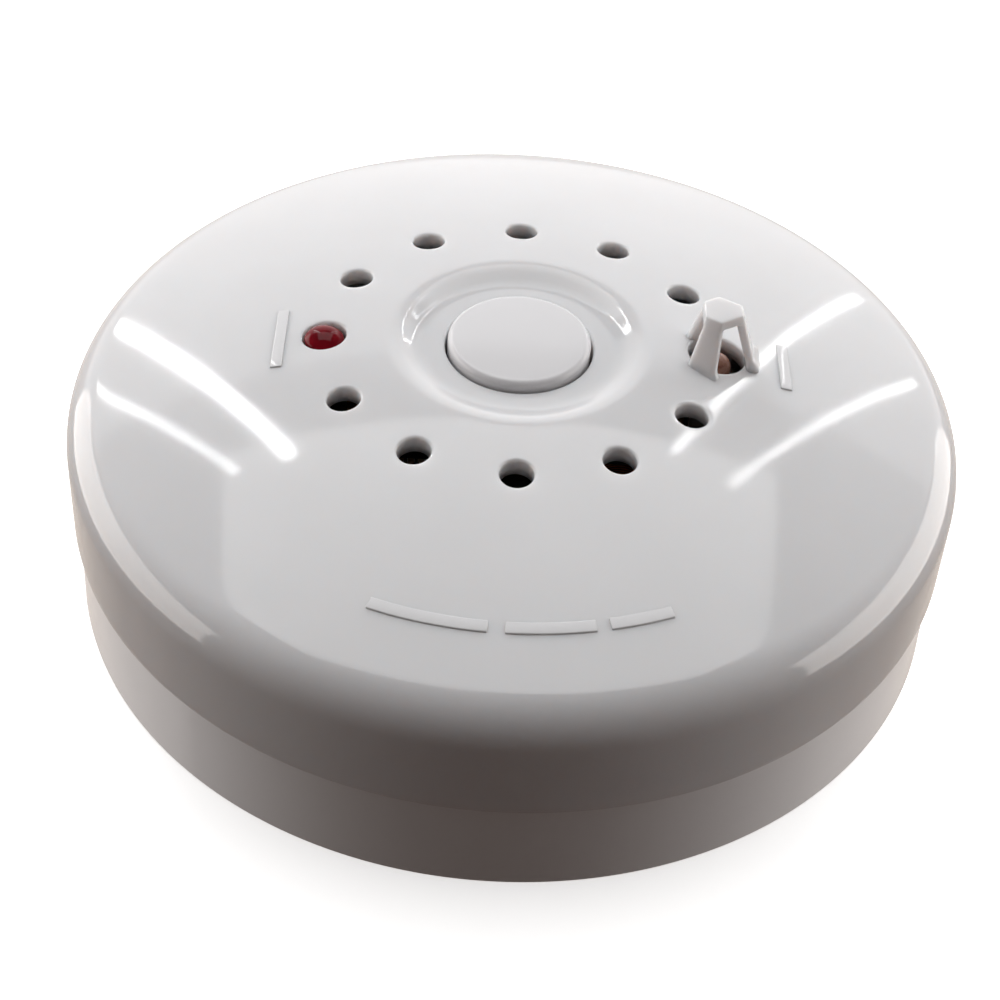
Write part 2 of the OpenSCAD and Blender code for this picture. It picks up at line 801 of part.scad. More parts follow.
module disc_capacitor_leads() {
    color("silver") for (p = disc_places, s = [-1, 1])
        pins([[p[0] + s * 1.27, p[1]]], lead_r, lead_below,
            board_top + disc_stand + disc_r - sqrt(pow(disc_r, 2) - pow(1.27 - lead_r, 2)));
}

module axial_body(place, r, l) {
    translate([place[0] - l / 2, place[1], axial_z]) rotate([0, 90, 0])
        rotate_extrude() polygon([[0, 0], [r, 0], [r, l * 0.22], [r * 0.84, l * 0.3],
            [r * 0.84, l * 0.7], [r, l * 0.78], [r, l], [0, l]]);
}

// Two leads that run out of an axial part and bend down through the board
module axial_leads(place, l, pitch) {
    bend = 0.6;
    for (s = [0, 180]) translate([place[0], place[1], axial_z]) rotate([0, 0, s]) {
        translate([l / 2, 0, 0]) rotate([0, 90, 0])
            cylinder(r = lead_r, h = (pitch - l) / 2 - bend);
        translate([pitch / 2 - bend, 0, -bend]) rotate([90, 0, 0])
            rotate_extrude(angle = 90) translate([bend, 0]) circle(lead_r);
        translate([pitch / 2, 0, lead_below - axial_z])
            cylinder(r = lead_r, h = axial_z - bend - lead_below);
    }
}

module resistors() {
    color("burlywood") for (p = resistor_places) axial_body(p, resistor_r, resistor_l);
}

module resistor_leads() {
    color("silver") for (p = resistor_places) axial_leads(p, resistor_l, resistor_pitch);
}

module diode() {
    color("black") translate([diode_place[0] - diode_l / 2, diode_place[1], axial_z])
        rotate([0, 90, 0]) cylinder(r = diode_r, h = diode_l);
}

module diode_leads() {
    color("silver") axial_leads(diode_place, diode_l, diode_pitch);
}

module transistor() {
    color("black") translate([transistor_x, transistor_y, board_top + transistor_stand])
        linear_extrude(transistor_h) difference() {
            circle(transistor_r);
            translate([-4, -4 - transistor_flat]) square([8, 4]);
        }
}

module transistor_legs() {
    color("silver") pins(transistor_leg_places, lead_r, lead_below,
        board_top + transistor_stand);
}

// ---- Battery and its snap ----

module battery_case() {
    radius = 2;
    color("slategray") translate([battery_x, battery_y, battery_mid_z]) rotate([0, 90, 0])
        linear_extrude(battery_l - end_plate_t) {
            square([battery_t - 2 * radius, battery_w], center = true);
            square([battery_t, battery_w - 2 * radius], center = true);
            for (i = [-1, 1], j = [-1, 1])
                translate([i * (battery_t / 2 - radius), j * (battery_w / 2 - radius)])
                    circle(radius);
        }
}

module battery_end_plate() {
    color("black") translate([plate_x - end_plate_t, battery_y - battery_w / 2 + 0.8,
        battery_low_z + 0.8]) cube([end_plate_t, battery_w - 1.6, battery_t - 1.6]);
}

// Discs and rings that face along +X, about the two terminals
module on_terminals(side) {
    translate([terminal_x, battery_y + side * terminal_pitch / 2, battery_mid_z])
        rotate([0, 90, 0]) children();
}

module battery_terminals() {
    color("silver") {
        on_terminals(1) cylinder(r = stud_r, h = terminal_h);
        on_terminals(-1) tube(crown_r, stud_r + 0.1, 0, terminal_h);
    }
}

module battery_snap() {
    color("black") translate([snap_x, battery_y - snap_w / 2, battery_mid_z - snap_h / 2])
        cube([snap_t - 0.1, snap_w, snap_h]);
}

module snap_contacts() {
    gap = 0.1;
    color("silver") {
        on_terminals(1) tube(crown_r, stud_r + gap, 0.2, snap_x - terminal_x);
        on_terminals(-1) translate([0, 0, 0.2])
            cylinder(r = stud_r, h = snap_x - terminal_x - 0.2);
    }
}

module wire(route) {
    skin([for (i = [0:len(route) - 1])
        ring_at(route[i], heading(route, i), [1, 0, 0], wire_r, 8)]);
}

module red_lead() {
    color("red") wire(red_route);
}

module black_lead() {
    color("black") wire(black_route);
}

mounting_base();
top_cover();
rear_housing();
cover_screws();
rating_label();
test_button();
return_spring();
switch_housing();
switch_plunger();
switch_pins();
circuit_board();
board_screws();
horn_housing();
horn_cap();
horn_plate();
horn_ceramic();
horn_contacts();
lamp_lens();
lamp_leads();
lamp_spacer();
thermistor_bead();
thermistor_leads();
sensor_post();
control_chip();
chip_legs();
coil_bobbin();
coil_winding();
coil_leads();
reservoir_capacitor();
capacitor_sleeve();
capacitor_leads();
disc_capacitors();
disc_capacitor_leads();
resistors();
resistor_leads();
transistor();
transistor_legs();
diode();
diode_leads();
battery_case();
battery_end_plate();
battery_terminals();
battery_snap();
snap_contacts();
red_lead();
black_lead();
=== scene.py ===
"""Looks of a battery heat detector: glossy moulded cover, base, button, lamp and the works inside.

Shapes are worked out in millimetres about the cover's axis and built in metres on the CAD frame.
"""

import json
import math

import bmesh
import bpy
from mathutils import Matrix, Vector


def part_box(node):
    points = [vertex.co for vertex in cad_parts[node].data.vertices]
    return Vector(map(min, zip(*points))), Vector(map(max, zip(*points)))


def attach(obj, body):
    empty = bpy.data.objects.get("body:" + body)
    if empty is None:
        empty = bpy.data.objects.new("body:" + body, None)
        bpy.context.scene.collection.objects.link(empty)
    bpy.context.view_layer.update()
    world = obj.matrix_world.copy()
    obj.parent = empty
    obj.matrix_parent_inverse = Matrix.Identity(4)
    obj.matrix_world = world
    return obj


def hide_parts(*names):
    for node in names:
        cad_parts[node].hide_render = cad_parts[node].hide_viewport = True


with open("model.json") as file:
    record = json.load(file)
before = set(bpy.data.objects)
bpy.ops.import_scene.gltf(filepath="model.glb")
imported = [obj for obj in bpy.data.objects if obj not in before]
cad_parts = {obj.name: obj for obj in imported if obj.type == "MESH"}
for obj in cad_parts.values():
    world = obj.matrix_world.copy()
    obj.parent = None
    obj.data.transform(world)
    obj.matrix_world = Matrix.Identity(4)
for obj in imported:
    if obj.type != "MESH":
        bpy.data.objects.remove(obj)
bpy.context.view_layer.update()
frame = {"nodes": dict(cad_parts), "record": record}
MM = 0.001


def box_mm(node):
    """Lowest and highest corner of a CAD node in millimetres."""
    low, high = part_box(node)
    return low / MM, high / MM


# ---------- Sizes, in millimetres ----------

COVER_HIGH = box_mm("top_cover")[1]
BASE_HIGH = box_mm("mounting_base")[1]
SCREWS_LOW = box_mm("cover_screws")[0]
BUTTON_LOW, BUTTON_HIGH = box_mm("test_button")
LENS_LOW, LENS_HIGH = box_mm("lamp_lens")
BEAD_LOW, BEAD_HIGH = box_mm("thermistor_bead")

COVER_R = COVER_HIGH.x
SEAM_GAP = 0.4
SEAM_Z = BASE_HIGH.z + SEAM_GAP
DOME_R = 160.0
DOME_TOP = 36.75
SHOULDER_R = 6.0
WALL = 2.2
CROWN_Z = DOME_TOP - DOME_R
SHOULDER_X = COVER_R - SHOULDER_R
SHOULDER_Z = CROWN_Z + math.sqrt((DOME_R - SHOULDER_R) ** 2 - SHOULDER_X ** 2)
SHOULDER_LEAN = math.atan2(SHOULDER_Z - CROWN_Z, SHOULDER_X)

RING_R = 23.6
RING_COUNT = 12
RING_HALF = 7.0
BAND_IN = RING_R - RING_HALF
BAND_OUT = RING_R + RING_HALF
SENSOR_PLACE = 0
LAMP_PLACE = 6
VENT_R = 2.0
LAMP_HOLE_R = 2.65
SENSOR_HOLE_R = 3.5
SENSOR_X = RING_R + 0.4
LIP = 0.32

DISH_FLOOR_Z = 34.8
DISH_FLOOR_R = 12.4
DISH_RIM_R = 15.0
HOLE_R = 9.0
COLLAR_R = 10.3
COLLAR_LOW_Z = 29.2
PAN_Z = DISH_FLOOR_Z - WALL

BASE_INSIDE_R = 52.4
SCREW_SLOT_X = 30.0

SECTOR_STEPS = 24
SEGMENTS = RING_COUNT * SECTOR_STEPS


# ---------- Mesh helpers ----------

class Skin:
    """Faces over shared points, given in millimetres."""

    def __init__(self):
        self.points = []
        self.faces = []
        self.index = {}

    def at(self, point):
        """Number of a point, which is added when it is new."""
        key = tuple(round(c, 5) for c in point)
        if key not in self.index:
            self.index[key] = len(self.points)
            self.points.append(tuple(point))
        return self.index[key]

    def face(self, points):
        """A face over points, left out when fewer than three of them differ."""
        ids = []
        for point in points:
            i = self.at(point)
            if i not in ids:
                ids.append(i)
        if len(ids) > 2:
            self.faces.append(ids)

    def rows(self, rows):
        """Quads between closed rows of points of the same length."""
        for row, other in zip(rows, rows[1:]):
            for i in range(len(row)):
                j = (i + 1) % len(row)
                self.face([row[i], row[j], other[j], other[i]])

    def tube(self, rings):
        """A closed skin over rings of points, with flat ends."""
        self.rows(rings)
        self.face(rings[0])
        self.face(rings[-1])

    def piece(self, name, body, slot, *nodes):
        """The finished object, riding on a CAD body in place of the CAD nodes named."""
        weld = 2e-4
        mesh = bpy.data.meshes.new(name)
        bm = bmesh.new()
        made = [bm.verts.new(Vector(p) * MM) for p in self.points]
        for ids in self.faces:
            try:
                bm.faces.new([made[i] for i in ids])
            except ValueError:
                continue
        bmesh.ops.remove_doubles(bm, verts=bm.verts, dist=weld * MM)
        bmesh.ops.recalc_face_normals(bm, faces=bm.faces)
        for face in bm.faces:
            face.smooth = True
        bm.to_mesh(mesh)
        bm.free()
        return settle(bpy.data.objects.new(name, mesh), body, slot, *nodes)


def settle(obj, body, slot, *nodes):
    """Puts a piece in the scene, on its body, with the look of its slot."""
    bpy.context.scene.collection.objects.link(obj)
    obj.data.materials.append(LOOKS[slot])
    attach(obj, body)
    if nodes:
        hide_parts(*nodes)
    return obj


def weighted(obj):
    """Flat faces beside small round edges keep their own shading."""
    modifier = obj.modifiers.new("even_shading", "WEIGHTED_NORMAL")
    modifier.weight = 100
    return obj


def applied(obj):
    """The object's mesh with its modifiers made real."""
    bpy.context.view_layer.update()
    graph = bpy.context.evaluated_depsgraph_get()
    mesh = bpy.data.meshes.new_from_object(obj.evaluated_get(graph))
    obj.modifiers.clear()
    obj.data = mesh
    return obj


def rounded(corners, steps=5):
    """A closed outline of (x, z, radius) corners, each rounded to its radius."""
    outline = []
    for i, (x, z, radius) in enumerate(corners):
        corner = Vector((x, z))
        if radius == 0:
            outline.append(corner)
            continue
        before = (Vector(corners[i - 1][:2]) - corner).normalized()
        after = (Vector(corners[(i + 1) % len(corners)][:2]) - corner).normalized()
        half = before.angle(after) / 2
        centre = corner + (before + after).normalized() * radius / math.sin(half)
        start = corner + before * radius / math.tan(half) - centre
        end = corner + after * radius / math.tan(half) - centre
        turn = start.angle(end)
        for k in range(steps + 1):
            share = k / steps
            outline.append(centre + (start * math.sin((1 - share) * turn)
                                     + end * math.sin(share * turn)) / math.sin(turn))
    return outline


def arc(centre, radius, start, end, steps):
    """Points on an arc from one angle to another, in radians."""
    return [Vector((centre[0] + radius * math.cos(start + (end - start) * k / steps),
                    centre[1] + radius * math.sin(start + (end - start) * k / steps)))
            for k in range(steps + 1)]


def ring_of(radius, z, middle=(0, 0), segments=SEGMENTS):
    """A level ring of points that starts on a sector's edge."""
    first = -math.pi / RING_COUNT
    return [(middle[0] + radius * math.cos(first + math.tau * k / segments),
             middle[1] + radius * math.sin(first + math.tau * k / segments), z)
            for k in range(segments)]


def lathe(skin, outline, middle=(0, 0), segments=SEGMENTS):
    """Turns an outline of (radius, z) about an upright axis."""
    skin.rows([ring_of(max(p[0], 0), p[1], middle, segments) for p in outline])


def loft_bar(skin, place, length, width, height, sink, edge, at_height):
    """A raised bar with round edges and ends, laid on a curved face.

    place(along, across) gives a point's x and y, and at_height(x, y) the face under it.
    """
    steps = 4
    lift = [(math.sin(math.pi / 2 * k / steps), math.cos(math.pi / 2 * k / steps))
            for k in range(steps + 1)]
    lengths = [-length / 2 + edge * (1 - math.cos(math.pi / 2 * k / steps))
               for k in range(steps + 1)]
    count = max(4, int(length))
    lengths += [-length / 2 + edge + (length - 2 * edge) * k / count for k in range(1, count)]
    lengths += [-s for s in reversed(lengths[:steps + 1])]
    rings = []
    for along in lengths:
        short = max(0.0, edge - (length / 2 - abs(along)))
        drop = edge - math.sqrt(max(edge * edge - short * short, 0))
        half = width / 2 - drop
        top = height - drop
        section = [(-half, -sink)]
        section += [(-half + edge * (1 - c), top - edge + edge * s) for s, c in lift]
        section += [(half - edge * (1 - c), top - edge + edge * s) for s, c in reversed(lift)]
        section += [(half, -sink)]
        ring = []
        for across, up in section:
            x, y = place(along, across)
            ring.append((x, y, at_height(math.hypot(x, y)) + up))
        rings.append(ring)
    skin.tube(rings)


# ---------- Materials ----------

WHITE = (0.70, 0.70, 0.712)
NOISE_LOW, NOISE_HIGH = 0.3, 0.7
SLOW_SCALE, PATCH_SCALE = 45, 160
PLASTIC_IOR = 1.5
SCATTER_RATIO = (1.0, 0.88, 0.82)
SCATTER_DEPTH = 2.6


def new_material(name):
    """A node material, with its nodes, its links and its shader."""
    material = bpy.data.materials.new(name)
    material.use_nodes = True
    nodes = material.node_tree.nodes
    return material, nodes, material.node_tree.links, nodes["Principled BSDF"]


def noise_node(nodes, links, scale, detail=3.0, stretch=None):
    """Noise in the object's own space, in metres."""
    place = nodes.new("ShaderNodeTexCoord")
    noise = nodes.new("ShaderNodeTexNoise")
    noise.inputs["Scale"].default_value = scale
    noise.inputs["Detail"].default_value = detail
    source = place.outputs["Object"]
    if stretch:
        mapping = nodes.new("ShaderNodeMapping")
        mapping.inputs["Scale"].default_value = stretch
        links.new(source, mapping.inputs["Vector"])
        source = mapping.outputs["Vector"]
    links.new(source, noise.inputs["Vector"])
    return noise


def spread(nodes, links, source, low, high):
    """Maps a noise's middle range to a range of values."""
    node = nodes.new("ShaderNodeMapRange")
    node.inputs["From Min"].default_value = NOISE_LOW
    node.inputs["From Max"].default_value = NOISE_HIGH
    node.inputs["To Min"].default_value = low
    node.inputs["To Max"].default_value = high
    links.new(source, node.inputs["Value"])
    return node.outputs["Result"]


def two_tone(nodes, links, source, dark, light, low=0.35, high=0.65):
    """A colour that runs from dark to light with a noise."""
    ramp = nodes.new("ShaderNodeValToRGB")
    ramp.color_ramp.elements[0].position = low
    ramp.color_ramp.elements[0].color = (*dark, 1)
    ramp.color_ramp.elements[1].position = high
    ramp.color_ramp.elements[1].color = (*light, 1)
    links.new(source, ramp.inputs["Fac"])
    return ramp.outputs["Color"]


def bump(nodes, links, shader, source, strength, distance):
    """Small relief from a noise."""
    node = nodes.new("ShaderNodeBump")
    node.inputs["Strength"].default_value = strength
    node.inputs["Distance"].default_value = distance
    links.new(source, node.inputs["Height"])
    links.new(node.outputs["Normal"], shader.inputs["Normal"])


def tinted(colour, share):
    """A colour made lighter or darker."""
    return tuple(min(c * share, 1) for c in colour)


def moulded(name, colour, rough, vary=0.03, grain=2600, grain_depth=0.004, soft=0.0):
    """Moulded plastic: slow tone changes, patchy gloss and a fine grain."""
    material, nodes, links, shader = new_material(name)
    slow = noise_node(nodes, links, SLOW_SCALE)
    links.new(two_tone(nodes, links, slow.outputs["Fac"], tinted(colour, 1 - vary),
                       tinted(colour, 1 + vary * 0.4)), shader.inputs["Base Color"])
    patch = noise_node(nodes, links, PATCH_SCALE, 4)
    links.new(spread(nodes, links, patch.outputs["Fac"], rough * 0.85, rough * 1.2),
              shader.inputs["Roughness"])
    fine = noise_node(nodes, links, grain, 2)
    bump(nodes, links, shader, fine.outputs["Fac"], 0.25, grain_depth * MM)
    shader.inputs["IOR"].default_value = PLASTIC_IOR
    if soft:
        shader.inputs["Subsurface Weight"].default_value = soft
        shader.inputs["Subsurface Radius"].default_value = SCATTER_RATIO
        shader.inputs["Subsurface Scale"].default_value = SCATTER_DEPTH * MM
    return material


def metal(name, colour, rough, grain=900, stretch=None):
    """Metal with fine drawn or cast marks and a little dulling."""
    material, nodes, links, shader = new_material(name)
    marks = noise_node(nodes, links, grain, 4, stretch)
    links.new(two_tone(nodes, links, marks.outputs["Fac"], tinted(colour, 0.72), colour),
              shader.inputs["Base Color"])
    links.new(spread(nodes, links, marks.outputs["Fac"], rough * 0.7, rough * 1.4),
              shader.inputs["Roughness"])
    bump(nodes, links, shader, marks.outputs["Fac"], 0.3, 0.01 * MM)
    shader.inputs["Metallic"].default_value = 1.0
    return material


def lens_red():
    """Deep red resin of the lamp, with a thin clear coat."""
    material, nodes, links, shader = new_material("lamp_red")
    cloud = noise_node(nodes, links, 500, 2)
    links.new(two_tone(nodes, links, cloud.outputs["Fac"], (0.12, 0.002, 0.006),
                       (0.19, 0.004, 0.010)), shader.inputs["Base Color"])
    links.new(spread(nodes, links, cloud.outputs["Fac"], 0.03, 0.06),
              shader.inputs["Roughness"])
    shader.inputs["IOR"].default_value = 1.54
    shader.inputs["Specular IOR Level"].default_value = 0.05
    shader.inputs["Coat Weight"].default_value = 0.2
    shader.inputs["Coat Roughness"].default_value = 0.02
    return material


def board_face():
    """Pressed paper board with darker fibres and a lacquer."""
    material, nodes, links, shader = new_material("board_brown")
    fibre = noise_node(nodes, links, 420, 8, (1.0, 3.0, 1.0))
    links.new(two_tone(nodes, links, fibre.outputs["Fac"], (0.19, 0.085, 0.03),
                       (0.36, 0.18, 0.07)), shader.inputs["Base Color"])
    links.new(spread(nodes, links, fibre.outputs["Fac"], 0.32, 0.5),
              shader.inputs["Roughness"])
    bump(nodes, links, shader, fibre.outputs["Fac"], 0.2, 0.02 * MM)
    return material


def wound_copper():
    """Enamelled wire: close turns across the winding's axis."""
    material, nodes, links, shader = new_material("coil_copper")
    place = nodes.new("ShaderNodeTexCoord")
    turns = nodes.new("ShaderNodeTexWave")
    turns.wave_type = "BANDS"
    turns.bands_direction = "Z"
    turns.inputs["Scale"].default_value = 1100
    turns.inputs["Distortion"].default_value = 0.6
    links.new(place.outputs["Object"], turns.inputs["Vector"])
    links.new(two_tone(nodes, links, turns.outputs["Fac"], (0.22, 0.06, 0.02),
                       (0.75, 0.30, 0.13), 0.1, 0.8), shader.inputs["Base Color"])
    bump(nodes, links, shader, turns.outputs["Fac"], 0.8, 0.08 * MM)
    shader.inputs["Metallic"].default_value = 1.0
    shader.inputs["Roughness"].default_value = 0.28
    return material


def speckled(name, colour, spot, rough, scale):
    """Fired or dipped coating with small spots."""
    material, nodes, links, shader = new_material(name)
    spots = noise_node(nodes, links, scale, 6)
    links.new(two_tone(nodes, links, spots.outputs["Fac"], spot, colour, 0.38, 0.5),
              shader.inputs["Base Color"])
    links.new(spread(nodes, links, spots.outputs["Fac"], rough * 0.8, rough * 1.2),
              shader.inputs["Roughness"])
    bump(nodes, links, shader, spots.outputs["Fac"], 0.25, 0.03 * MM)
    return material


def all_looks():
    """The material of every slot."""
    return {
        "white_case": moulded("white_case", WHITE, 0.07, vary=0.02, soft=0.8),
        "white_button": moulded("white_button", (0.71, 0.705, 0.72), 0.1, vary=0.02),
        "white_base": moulded("white_base", (0.80, 0.80, 0.81), 0.14, vary=0.02),
        "inner_white": moulded("inner_white", (0.66, 0.65, 0.63), 0.42, grain_depth=0.02),
        "black_plastic": moulded("black_plastic", (0.018, 0.018, 0.02), 0.38, vary=0.2,
                                 grain_depth=0.02),
        "grey_plastic": moulded("grey_plastic", (0.20, 0.205, 0.21), 0.45, vary=0.1,
                                grain_depth=0.02),
        "chip_black": moulded("chip_black", (0.03, 0.03, 0.034), 0.55, vary=0.25,
                              grain=4200, grain_depth=0.03),
        "screw_steel": metal("screw_steel", (0.62, 0.61, 0.58), 0.28),
        "spring_steel": metal("spring_steel", (0.55, 0.55, 0.56), 0.22, 1500),
        "tinned_lead": metal("tinned_lead", (0.70, 0.71, 0.73), 0.3, 1300, (1, 1, 0.3)),
        "contact_nickel": metal("contact_nickel", (0.66, 0.63, 0.58), 0.2),
        "horn_brass": metal("horn_brass", (0.78, 0.56, 0.24), 0.25, 700),
        "can_aluminium": metal("can_aluminium", (0.78, 0.79, 0.80), 0.3, 600),
        "label_foil": metal("label_foil", (0.74, 0.75, 0.76), 0.42, 300),
        "horn_ceramic": speckled("horn_ceramic", (0.78, 0.76, 0.70), (0.66, 0.64, 0.58),
                                 0.5, 1500),
        "capacitor_ochre": speckled("capacitor_ochre", (0.62, 0.27, 0.05),
                                    (0.48, 0.19, 0.03), 0.35, 900),
        "resistor_tan": speckled("resistor_tan", (0.62, 0.46, 0.28), (0.54, 0.39, 0.23),
                                 0.4, 1400),
        "sensor_brown": speckled("sensor_brown", (0.42, 0.21, 0.15), (0.30, 0.13, 0.09),
                                 0.25, 900),
        "sleeve_blue": moulded("sleeve_blue", (0.03, 0.07, 0.22), 0.28, vary=0.1),
        "battery_grey": moulded("battery_grey", (0.09, 0.095, 0.105), 0.3, vary=0.15),
        "wire_red": moulded("wire_red", (0.50, 0.02, 0.018), 0.36, vary=0.08),
        "wire_black": moulded("wire_black", (0.02, 0.02, 0.021), 0.36, vary=0.2),
        "lamp_red": lens_red(),
        "board_brown": board_face(),
        "coil_copper": wound_copper(),
    }


LOOKS = all_looks()


# ---------- Cover ----------

def dome(radius):
    """Height of the cover's face at a distance from its axis."""
    return CROWN_Z + math.sqrt(DOME_R ** 2 - radius ** 2)


def under_dome(radius):
    """Height of the dome's underside."""
    return CROWN_Z + math.sqrt((DOME_R - WALL) ** 2 - radius ** 2)


def sector_edge(place):
    """Points round the edge of one sector of the ring, and where its sides turn."""
    turn = math.tau / RING_COUNT
    first = place * turn - turn / 2
    last = place * turn + turn / 2
    steps = SECTOR_STEPS
    legs = [((BAND_IN, first), (BAND_OUT, first)), ((BAND_OUT, first), (BAND_OUT, last)),
            ((BAND_OUT, last), (BAND_IN, last)), ((BAND_IN, last), (BAND_IN, first))]
    points = []
    for (r0, a0), (r1, a1) in legs:
        for k in range(steps):
            radius = r0 + (r1 - r0) * k / steps
            angle = a0 + (a1 - a0) * k / steps
            points.append(Vector((radius * math.cos(angle), radius * math.sin(angle))))
    return points


def holed_sector(skin, place):
    """One sector of the ring of holes: face with a round lip, hole wall and underside."""
    hole_r = {SENSOR_PLACE: SENSOR_HOLE_R, LAMP_PLACE: LAMP_HOLE_R}.get(place, VENT_R)
    hole_ring = SENSOR_X if place == SENSOR_PLACE else RING_R
    angle = place * math.tau / RING_COUNT
    centre = Vector((hole_ring * math.cos(angle), hole_ring * math.sin(angle)))
    edge = sector_edge(place)
    lip_steps, rows_out, crowding = 5, 9, 1.25
    rims = []
    for k in range(lip_steps + 1):
        slope = math.pi / 2 * (1 - k / lip_steps)
        rims.append((LIP * (1 - math.sin(slope)), LIP * (1 - math.cos(slope))))
    top_rows = [[] for _ in range(lip_steps + 1 + rows_out)]
    low_rows = [[] for _ in range(1 + rows_out)]
    for point in edge:
        reach = (point - centre).length - hole_r
        ray = (point - centre).normalized()
        for k, (out, drop) in enumerate(rims):
            p = centre + ray * (hole_r + out)
            top_rows[k].append((p.x, p.y, dome(p.length) - drop))
        p = centre + ray * hole_r
        low_rows[0].append((p.x, p.y, under_dome(p.length)))
        for k in range(1, rows_out + 1):
            share = (k / rows_out) ** crowding
            p = centre + ray * (hole_r + LIP + (reach - LIP) * share)
            if k == rows_out:
                p = point
            top_rows[lip_steps + k].append((p.x, p.y, dome(p.length)))
            low_rows[k].append((p.x, p.y, under_dome(p.length)))
    skin.rows(top_rows)
    skin.rows(low_rows)
    middle = [((a[0] + b[0]) / 2, (a[1] + b[1]) / 2, (a[2] + b[2]) / 2)
              for a, b in zip(top_rows[0], low_rows[0])]
    skin.rows([top_rows[0], middle, low_rows[0]])


def cover_shell():
    """Dome, shoulder and side, the dish round the button and its collar."""
    skin = Skin()
    for place in range(RING_COUNT):
        holed_sector(skin, place)
    rim_r, rim_round = DISH_RIM_R + 0.1, 4.9
    floor_r, floor_round = DISH_FLOOR_R - 0.2, 5.0
    middle = rounded([
        (BAND_IN, dome(BAND_IN), 0), (rim_r, dome(rim_r), rim_round),
        (floor_r, DISH_FLOOR_Z, floor_round), (HOLE_R, DISH_FLOOR_Z, 0.35),
        (HOLE_R, COLLAR_LOW_Z, 0.25), (COLLAR_R, COLLAR_LOW_Z, 0.25),
        (COLLAR_R, PAN_Z, 0.4), (DISH_FLOOR_R + 0.8, PAN_Z, 0.8),
        (BAND_IN, under_dome(BAND_IN), 0)], 8)
    lathe(skin, middle)
    dome_steps, under_steps = 16, 12
    dome_end = SHOULDER_X + SHOULDER_R * math.cos(SHOULDER_LEAN)
    face = [Vector((r, dome(r))) for r in
            [BAND_OUT + (dome_end - BAND_OUT) * k / dome_steps for k in range(dome_steps)]]
    face += arc((SHOULDER_X, SHOULDER_Z), SHOULDER_R, SHOULDER_LEAN, 0, 20)
    inside_r, foot_z = COVER_R - WALL, SEAM_Z + 1
    side = [Vector((COVER_R, SHOULDER_Z + (foot_z - SHOULDER_Z) * k / 5)) for k in range(1, 6)]
    foot = rounded([(COVER_R, foot_z, 0), (COVER_R, SEAM_Z, 0.3), (inside_r, SEAM_Z, 0.25),
                    (inside_r, foot_z, 0)])[1:]
    back = [Vector((inside_r, foot_z + (SHOULDER_Z - foot_z) * k / 4)) for k in range(1, 4)]
    back += arc((SHOULDER_X, SHOULDER_Z), SHOULDER_R - WALL, 0, SHOULDER_LEAN, 10)
    under_start = back[-1].x
    under = [Vector((r, under_dome(r))) for r in
             [under_start + (BAND_OUT - under_start) * k / under_steps
              for k in range(1, under_steps + 1)]]
    lathe(skin, face + side + foot + back + under)
    for outline, place in cover_bosses():
        lathe(skin, outline, middle=place, segments=48)
    return skin.piece("cover_shell", "head", "white_case", "top_cover")


def cover_bosses():
    """Outlines and places of the four screw bosses under the cover, a little into it."""
    above_screw_head, ring, radius, bore, deep, into = 5.6, 45.1, 3.0, 1.5, 9.0, 0.6
    low = SCREWS_LOW.z + above_screw_head
    top = under_dome(ring) + into
    bosses = []
    for degrees in (20, 160, 235, 305):
        angle = math.radians(degrees)
        outline = rounded([(0, low + deep, 0), (bore, low + deep, 0), (bore, low, 0.2),
                           (radius, low, 0.3), (radius, top, 0), (0, top, 0)], 4)
        bosses.append((outline, (ring * math.cos(angle), ring * math.sin(angle))))
    return bosses


def sensor_guard():
    """Three legs that lean in under a six-sided cap, blended at feet and top."""
    foot_z = dome(SENSOR_X)
    height = COVER_HIGH.z - foot_z
    sink, flare, thick = 0.8, 0.8, 1.2
    flare_out, flare_side = 0.8, 0.7
    foot_r, top_r, foot_w, top_w = 4.6, 2.4, 3.8, 2.1
    steps, around, squareness = 26, 28, 5.0
    skin = Skin()
    for degrees in (0, 120, 240):
        turn = Matrix.Rotation(math.radians(degrees), 2)
        rings = []
        for k in range(steps + 1):
            z = -sink + (height + sink) * k / steps
            share = max(z, 0) / height
            spread_by = 0.0
            if z < flare:
                spread_by = flare - math.sqrt(flare ** 2 - (flare - max(z, 0)) ** 2)
            outer = foot_r + (top_r - foot_r) * share + spread_by * flare_out
            inner = foot_r + (top_r - foot_r) * share - thick
            half = (foot_w + (top_w - foot_w) * share) / 2 + spread_by * flare_side
            middle = Vector(((outer + inner) / 2, 0))
            ring = []
            for i in range(around):
                angle = math.tau * i / around
                c, s = math.cos(angle), math.sin(angle)
                size = (abs(c) ** squareness + abs(s) ** squareness) ** (-1 / squareness)
                p = turn @ (middle + Vector((c * size * (outer - inner) / 2, s * size * half)))
                ring.append((SENSOR_X + p.x, p.y, foot_z + z))
            rings.append(ring)
        skin.tube(rings)
    cap = []
    cap_r = math.hypot(top_r, top_w / 2)
    lean = math.atan2(top_w / 2, top_r)
    cap_spread = 0.30
    for z, grow in ((-thick, cap_spread), (0.0, 0.0)):
        ring = []
        for degrees in (0, 120, 240):
            for side in (-1, 1):
                angle = math.radians(degrees) + side * lean
                radius = cap_r + grow
                ring.append((SENSOR_X + radius * math.cos(angle), radius * math.sin(angle),
                             foot_z + height + z))
        cap.append(ring)
    skin.tube(cap)
    obj = skin.piece("sensor_guard", "head", "white_case", "top_cover")
    remesh = obj.modifiers.new("one_skin", "REMESH")
    remesh.mode = "VOXEL"
    remesh.voxel_size = 0.11 * MM
    remesh.use_smooth_shade = True
    soften = obj.modifiers.new("soften", "SMOOTH")
    soften.factor = 0.5
    soften.iterations = 16
    return applied(obj)


